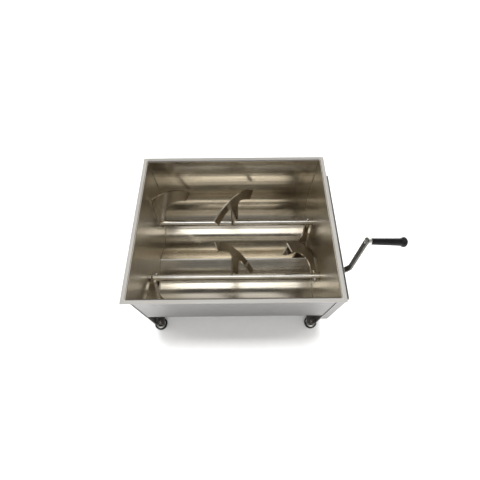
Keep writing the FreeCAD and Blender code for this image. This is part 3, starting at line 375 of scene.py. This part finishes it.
def machined_material(name, base, low, high, grain=300.0):
    """Small metal parts: cloudy, grainy, bright at the edges, rough from low to high."""
    shader = Shader(name)
    clouds = shader.noise((60.0, 60.0, 60.0), 4.0, 0.6)
    grains = shader.noise((grain, grain, grain))
    dark = tuple(c * 0.75 for c in base)
    bright = tuple(min(1.0, c * 1.3) for c in base)
    colour = shader.colour(shader.spread(clouds, *NOISE_PEAKS), base, dark)
    colour = shader.colour(shader.edges(ROUNDED_SMALL, 0.6), colour, bright)
    shader.bump(grains, 0.0002, 0.35, soften=0.0003)
    return shader.finish(colour, shader.spread(grains, *NOISE_BAND, low, high))


def plastic_material(name):
    """Black moulded grip: fine leathery grain, rubbed smoother in patches."""
    shader = Shader(name)
    grain = shader.noise((900.0, 900.0, 900.0), 3.0, 0.55)
    rubbed_patches_and_ridge_highlight = shader.noise((40.0, 40.0, 40.0))
    colour = shader.colour(shader.spread(rubbed_patches_and_ridge_highlight, *NOISE_PEAKS), *GRIP_BLACK)
    shader.surface.inputs["Specular IOR Level"].default_value = GRIP_SPECULAR
    shader.bump(grain, 0.0004, 0.35)
    return shader.finish(colour, shader.spread(rubbed_patches_and_ridge_highlight, *NOISE_BAND, 0.26, 0.40), 0.0)


def rubber_material(name):
    """Black rubber: matt, with a little dust low down."""
    shader = Shader(name)
    grain = shader.noise((500.0, 500.0, 500.0), 4.0, 0.6)
    low_down = shader.spread(shader.split(shader.place)[Z], RUBBER_DUST_TOP, 0.0)
    dust = shader.times(low_down, shader.spread(shader.noise((80.0, 80.0, 80.0)), *NOISE_PEAKS), 0.35)
    colour = shader.colour(dust, RUBBER_BLACK, RUBBER_DUST)
    shader.surface.inputs["Specular IOR Level"].default_value = RUBBER_SPECULAR
    shader.bump(grain, 0.0003, 0.4)
    return shader.finish(colour, shader.spread(grain, *NOISE_BAND, 0.42, 0.60), 0.0)


def weld_material(name):
    """Bright ripples with straw, brown and blue heat tint."""
    shader = Shader(name)
    tint = shader.noise((160.0, 160.0, 160.0), 3.0, 0.6)
    straw = shader.colour(shader.spread(tint, 0.35, 0.55), WELD_BRIGHT, WELD_STRAW)
    colour = shader.colour(shader.spread(tint, 0.6, 0.75), straw, WELD_BLUE)
    shader.bump(tint, 0.0002, 0.5)
    return shader.finish(colour, shader.spread(tint, *NOISE_BAND, 0.22, 0.40))


def dress(nodes, material):
    for name in nodes:
        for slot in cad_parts[name].material_slots:
            slot.material = material


def dress_nodes():
    """Every CAD node keeps its shape and gets its material."""
    nodes = list(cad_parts)
    dress(["trough_sheet"], sheet_material("trough_steel", inside_tank, X, (1.2, 11.0, 11.0),
                                           polish=0.22, lined=(0.84, 1.12), stretched=0.85))
    dress(["left_end_plate", "right_end_plate"],
          sheet_material("plate_steel", inside_plate, Y, (6.0, 5.0, 5.0), polish=0.34))
    dress(["gear_cover"], sheet_material("cover_steel", None, Y, (6.0, 5.0, 5.0)))
    dress(["front_shaft", "rear_shaft"],
          turned_steel("shaft_bar", (0.70, 0.68, 0.63), 0.14, 0.24, 1800.0))
    dress([n for n in nodes if n.endswith(("_hook", "_paddle"))], paddle_material("paddle_plate"))
    dress([n for n in nodes if n.startswith(("front_idler_", "rear_idler_"))
           or ("gear" in n and n != "gear_cover")],
          machined_material("gear_steel", (0.40, 0.40, 0.41), 0.28, 0.42))
    dress([n for n in nodes if n.endswith(("_bushing", "_bush"))],
          machined_material("bearing_bronze", (0.55, 0.38, 0.18), 0.25, 0.38))
    dress(["front_left_housing", "rear_left_housing"],
          machined_material("housing_aluminium", (0.42, 0.42, 0.415), 0.30, 0.45, 500.0))
    dress(["foot_screws", "foot_nuts", "housing_screws", "cover_screws", "cover_spacers",
           "front_hook_bolts", "rear_hook_bolts", "crank_washer", "crank_bolt", "crank_set_screw"],
          machined_material("fastener_steel", (0.56, 0.55, 0.53), 0.16, 0.28))
    dress(["foot_washers"],
          machined_material("washer_steel", (0.60, 0.585, 0.55), 0.06, 0.10, 120.0))
    dress(["crank_arm", "crank_hub"],
          turned_steel("crank_bar", (0.130, 0.122, 0.108), 0.30, 0.42, 700.0))
    dress(["grip_collar", "grip_spindle"],
          turned_steel("collar_chrome", (0.80, 0.80, 0.78), 0.10, 0.18, 1500.0))
    dress(["grip"], plastic_material("grip_plastic"))
    dress([n for n in nodes if n.startswith(("foot_front_", "foot_rear_"))],
          rubber_material("foot_rubber"))


# Weld beads: rippled runs of metal along the joints
BEAD_SIDES = 8
BEAD_STEP = 0.0009
BEAD_PITCH = 0.0027
BEAD_CLEARANCE = 0.0004
BEAD_TIP = 0.35
BEAD_TIP_STEPS = 2
BEAD_THIN = 0.86
BEAD_SWELL = 0.20
BEAD_SWELL_SHAPE = 0.7
SEAM_RADIUS = 0.0013
SEAM_TOP = 0.3
SEAM_STEPS = 48
STEM_BEAD_RADIUS = 0.0016
STEM_HALF_WIDTH = 0.015
STEM_REACH = 0.97
PLATE_HALF = 0.002
BOSS_RADIUS = 0.006
RUN_STEPS = 40

# Where the paddles sit: the middle stem's lean, the hooks' place along X, and how far each stem
# is turned from upright about X (the middle one, then the hooks from left to right)
MIDDLE_LEAN = 52.0
HOOK_PLACE = 0.235
FRONT_STEMS = (103.4, (-76.6, 103.4))
REAR_STEMS = (17.0, (17.0, 197.0))


def evenly(points, step):
    """The same line with points a step apart."""
    spread = [points[0]]
    for start, end in zip(points, points[1:]):
        pieces = max(1, round((end - start).length / step))
        spread += [start.lerp(end, (i + 1) / pieces) for i in range(pieces)]
    return spread


def bead(name, runs, radius, body, material):
    """One tube along each run, swollen and pinched as the weld pool froze."""
    build = bmesh.new()
    for run in runs:
        line = evenly(run, BEAD_STEP)
        last = len(line) - 1
        rings = []
        side = None
        for i, point in enumerate(line):
            ahead = line[min(i + 1, last)] - line[max(i - 1, 0)]
            ahead.normalize()
            side = ahead.orthogonal() if side is None else side - side.dot(ahead) * ahead
            side.normalize()
            other = ahead.cross(side)
            phase = (i * BEAD_STEP / BEAD_PITCH) % 1.0
            tip = min(1.0, BEAD_TIP + (1.0 - BEAD_TIP) * min(i, last - i) / BEAD_TIP_STEPS)
            wide = radius * tip * (BEAD_THIN + BEAD_SWELL * (1.0 - phase) ** BEAD_SWELL_SHAPE)
            turns = [2 * math.pi * k / BEAD_SIDES for k in range(BEAD_SIDES)]
            rings.append([build.verts.new(point + wide * (math.cos(turn) * side
                                                          + math.sin(turn) * other))
                          for turn in turns])
        for ring, following in zip(rings, rings[1:]):
            for k in range(BEAD_SIDES):
                beyond = (k + 1) % BEAD_SIDES
                build.faces.new((ring[k], ring[beyond], following[beyond], following[k]))
        build.faces.new(rings[0][::-1])
        build.faces.new(rings[-1])
    bmesh.ops.recalc_face_normals(build, faces=build.faces)
    for face in build.faces:
        face.smooth = True
    mesh = bpy.data.meshes.new(name)
    build.to_mesh(mesh)
    build.free()
    mesh.materials.append(material)
    piece = bpy.data.objects.new(name, mesh)
    bpy.context.scene.collection.objects.link(piece)
    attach(piece, body)


def seam(x, grow):
    """A run along the tank's section at x, from rim to rim, grown outward by so much."""
    radius = TROUGH_RADIUS + grow
    foot_turn = math.atan2(RIDGE_FOOT_HEIGHT - AXIS_HEIGHT, RIDGE_FOOT - SHAFT_OFFSET)
    half = [(SHAFT_OFFSET + radius, SEAM_TOP), (SHAFT_OFFSET + radius, AXIS_HEIGHT)]
    for i in range(1, SEAM_STEPS + 1):
        turn = foot_turn * i / SEAM_STEPS
        half.append((SHAFT_OFFSET + radius * math.cos(turn), AXIS_HEIGHT + radius * math.sin(turn)))
    half.append((0.0, RIDGE_TOP - grow / math.cos(math.radians(RIDGE_SLOPE))))
    whole = half + [(-y, z) for y, z in half[-2::-1]]
    return [Vector((x, y, z)) for y, z in whole]


def stem_axes(x, shaft_y, stem_angle):
    """Where a stem's line starts on the shaft's axis, and the ways across the stem and up it."""
    turn = math.radians(stem_angle)
    return (Vector((x, shaft_y, AXIS_HEIGHT)), Vector((0, math.cos(turn), -math.sin(turn))),
            Vector((0, math.sin(turn), math.cos(turn))))


def stem_runs(x, shaft_y, stem_angle, lean_angle):
    """Where both faces of a leaning stem meet the shaft."""
    start, across, up = stem_axes(x, shaft_y, stem_angle)
    lean = math.radians(lean_angle)
    normal = Vector((math.sin(lean), 0, 0)) - math.cos(lean) * across
    runs = []
    for face in (PLATE_HALF, -PLATE_HALF):
        out = math.copysign(BEAD_CLEARANCE, face) * normal
        run = []
        for i in range(RUN_STEPS + 1):
            aside = STEM_HALF_WIDTH * (2 * i / RUN_STEPS - 1)
            offset = aside * math.sin(lean) - face * math.cos(lean)
            if abs(offset) < SHAFT_RADIUS * STEM_REACH:
                height = math.sqrt(SHAFT_RADIUS ** 2 - offset ** 2) + BEAD_CLEARANCE
                shift = Vector((aside * math.cos(lean) + face * math.sin(lean), 0, 0))
                run.append(start + shift + offset * across + height * up + out)
        runs.append(run)
    return runs


def boss_run(x, shaft_y, stem_angle):
    """The ring where a hook's round boss sits on the shaft."""
    start, across, up = stem_axes(x, shaft_y, stem_angle)
    run = []
    for i in range(RUN_STEPS + 1):
        turn = 2 * math.pi * i / RUN_STEPS
        aside = BOSS_RADIUS * math.sin(turn)
        height = math.sqrt(SHAFT_RADIUS ** 2 - aside ** 2) + BEAD_CLEARANCE
        shift = Vector((BOSS_RADIUS * math.cos(turn), 0, 0))
        run.append(start + shift + aside * across + height * up)
    return run


def make_welds():
    end = HALF_LENGTH - BEAD_CLEARANCE
    ground = machined_material("seam_steel", (0.52, 0.475, 0.40), 0.22, 0.34, 400.0)
    # Painted shade: the outer seams get a dark colour like the sheet's outside
    shaded_outer_seam = machined_material("outer_seam_shaded_steel", (0.19, 0.185, 0.18), 0.30, 0.42, 400.0)
    tinted = weld_material("stem_weld")
    for name, grow, material in (("inner_seams", -BEAD_CLEARANCE, ground),
                                 ("outer_seams", SHEET_WALL + BEAD_CLEARANCE, shaded_outer_seam)):
        runs = [seam(-end, grow), seam(end, grow)]
        bead(name, runs, SEAM_RADIUS, "tank", material)
    for label, shaft_y, (middle, hooks) in (("front", -SHAFT_OFFSET, FRONT_STEMS),
                                            ("rear", SHAFT_OFFSET, REAR_STEMS)):
        runs = stem_runs(0.0, shaft_y, middle, MIDDLE_LEAN)
        runs += [boss_run(x, shaft_y, turn) for x, turn in zip((-HOOK_PLACE, HOOK_PLACE), hooks)]
        bead(label + "_stem_welds", runs, STEM_BEAD_RADIUS, label + "_shaft_body",
             tinted)


# Floor, light and camera
def make_floor():
    mesh = bpy.data.meshes.new("floor")
    build = bmesh.new()
    bmesh.ops.create_grid(build, x_segments=FLOOR_SQUARES, y_segments=FLOOR_SQUARES,
                          size=FLOOR_HALF)
    build.to_mesh(mesh)
    build.free()
    floor = bpy.data.objects.new("floor", mesh)
    bpy.context.scene.collection.objects.link(floor)
    shader = Shader("floor_paper")
    tone = shader.spread(shader.noise((40.0, 40.0, 40.0)), *NOISE_BAND, *FLOOR_TONE)
    mesh.materials.append(shader.finish(shader.join(tone, tone, tone), FLOOR_ROUGHNESS, 0.0))
    return floor


def area_light(name, place, look_at, size, radiance):
    light = bpy.data.lights.new(name, "AREA")
    light.shape = "RECTANGLE"
    light.size, light.size_y = size
    light.energy = radiance * math.pi * size[0] * size[1]
    lamp = bpy.data.objects.new(name, light)
    lamp.location = place
    lamp.rotation_euler = (Vector(look_at) - Vector(place)).to_track_quat("-Z", "Y").to_euler()
    bpy.context.scene.collection.objects.link(lamp)
    return lamp


def far_light(name, height, softness, strength):
    """Soft light from the rear, this many degrees high, the same all over the floor."""
    light = bpy.data.lights.new(name, "SUN")
    light.angle = math.radians(softness)
    light.energy = strength
    lamp = bpy.data.objects.new(name, light)
    lamp.rotation_euler = (math.radians(height - 90.0), 0.0, 0.0)
    bpy.context.scene.collection.objects.link(lamp)
    return lamp


def make_lights(floor):
    """The softbox lights everything; the other three give the floor its tone and its shadow."""
    area_light("overhead", SOFTBOX_PLACE, (*SOFTBOX_PLACE[:Z], 0.0), SOFTBOX_SIZE,
               SOFTBOX_RADIANCE)
    floor_alone = bpy.data.collections.new("floor_alone")
    floor_alone.objects.link(floor)
    for lamp in (
            area_light("floor_key", FLOOR_KEY_PLACE, (*FLOOR_KEY_PLACE[:Z], 0.0), FLOOR_KEY_SIZE,
                       FLOOR_KEY_RADIANCE),
            area_light("floor_fill", FLOOR_FILL_PLACE, (0.0, 0.0, 0.0), FLOOR_FILL_SIZE,
                       FLOOR_FILL_RADIANCE),
            far_light("floor_wide", FLOOR_WIDE_HEIGHT, FLOOR_WIDE_SOFTNESS, FLOOR_WIDE_STRENGTH)):
        lamp.light_linking.receiver_collection = floor_alone


# Brightness of the room by the angle from the front horizon over the top to the rear one
ROOM_OVERHEAD = (
    (0, 1.00), (22, 1.00), (33, 0.50), (40, 0.18), (62, 0.16), (66, 1.35), (75, 1.35), (79, 0.40),
    (97, 0.10), (103, 0.05), (119, 0.06), (126, 1.00), (132, 0.95), (150, 0.80), (160, 0.90),
    (180, 1.00),
)
# The same by height alone, for what is seen to the left and the right, and how far to the side
# a direction points where the one gives way to the other
ROOM_SIDES = ((0.00, 1.00), (0.38, 1.00), (0.50, 0.72), (0.68, 0.48), (0.80, 0.36), (1.00, 0.30))
ROOM_SIDEWAYS = (0.28, 0.62)
ROOM_TINT = (1.0, 0.985, 0.965)


def make_world():
    """A room with bright and dim zones overhead that gets pale towards the horizon."""
    world = bpy.data.worlds.new("studio")
    world.use_nodes = True
    bpy.context.scene.world = world
    tree = world.node_tree

    def node(kind, inputs, **settings):
        """A node with its settings and with what each of these inputs gets."""
        made = tree.nodes.new("ShaderNode" + kind)
        for key, setting in settings.items():
            setattr(made, key, setting)
        for key, given in inputs.items():
            if isinstance(given, bpy.types.NodeSocket):
                tree.links.new(given, made.inputs[key])
            else:
                made.inputs[key].default_value = given
        return made.outputs

    def ramp(given, stops):
        made = node("ValToRGB", {0: given})[0]
        elements = made.node.color_ramp.elements
        elements.remove(elements[0])
        elements[0].position, first = stops[0]
        elements[0].color = (first, first, first, 1.0)
        for position, tone in stops[1:]:
            elements.new(position).color = (tone, tone, tone, 1.0)
        return made

    x, y, z = node("SeparateXYZ", {0: node("TexCoord", {})["Generated"]})
    to_front = node("Math", {0: y, 1: -1.0}, operation="MULTIPLY")[0]
    angle = node("Math", {0: z, 1: to_front}, operation="ARCTAN2")[0]
    part_turn = node("Math", {0: angle, 1: math.pi}, operation="DIVIDE")[0]
    sideways = node("Math", {0: x}, operation="ABSOLUTE")[0]
    share = node("MapRange", {"Value": sideways, "From Min": ROOM_SIDEWAYS[0],
                              "From Max": ROOM_SIDEWAYS[1]}, interpolation_type="SMOOTHSTEP")[0]
    overhead = ramp(part_turn, [(a / 180.0, tone) for a, tone in ROOM_OVERHEAD])
    room = node("Mix", {0: share, 6: overhead, 7: ramp(z, ROOM_SIDES)}, data_type="RGBA")[2]
    tinted = node("Mix", {0: 1.0, 6: room, 7: (*ROOM_TINT, 1.0)}, data_type="RGBA",
                  blend_type="MULTIPLY")[2]
    tree.links.new(tinted, tree.nodes["Background"].inputs["Color"])


def make_camera():
    pitch, yaw, roll = (math.radians(a) for a in (CAMERA_PITCH, CAMERA_YAW, CAMERA_ROLL))
    turn = Matrix.Rotation(yaw, 3, "Z")
    forward = turn @ Vector((0, math.cos(pitch), -math.sin(pitch)))
    up = turn @ Vector((0, math.sin(pitch), math.cos(pitch)))
    right = turn @ Vector((1, 0, 0))
    right, up = (math.cos(roll) * right + math.sin(roll) * up,
                 math.cos(roll) * up - math.sin(roll) * right)
    basis = Matrix((right, up, -forward)).transposed().to_4x4()
    camera = bpy.data.cameras.new("camera")
    camera.lens = CAMERA_LENS
    camera.shift_x, camera.shift_y = CAMERA_SHIFT
    camera.clip_start = CAMERA_NEAR
    eye = bpy.data.objects.new("camera", camera)
    eye.matrix_world = Matrix.Translation(CAMERA_PLACE) @ basis
    bpy.context.scene.collection.objects.link(eye)
    bpy.context.scene.camera = eye


dress_nodes()
make_welds()
make_lights(make_floor())
make_world()
make_camera()
bpy.context.scene.view_settings.view_transform = "Standard"
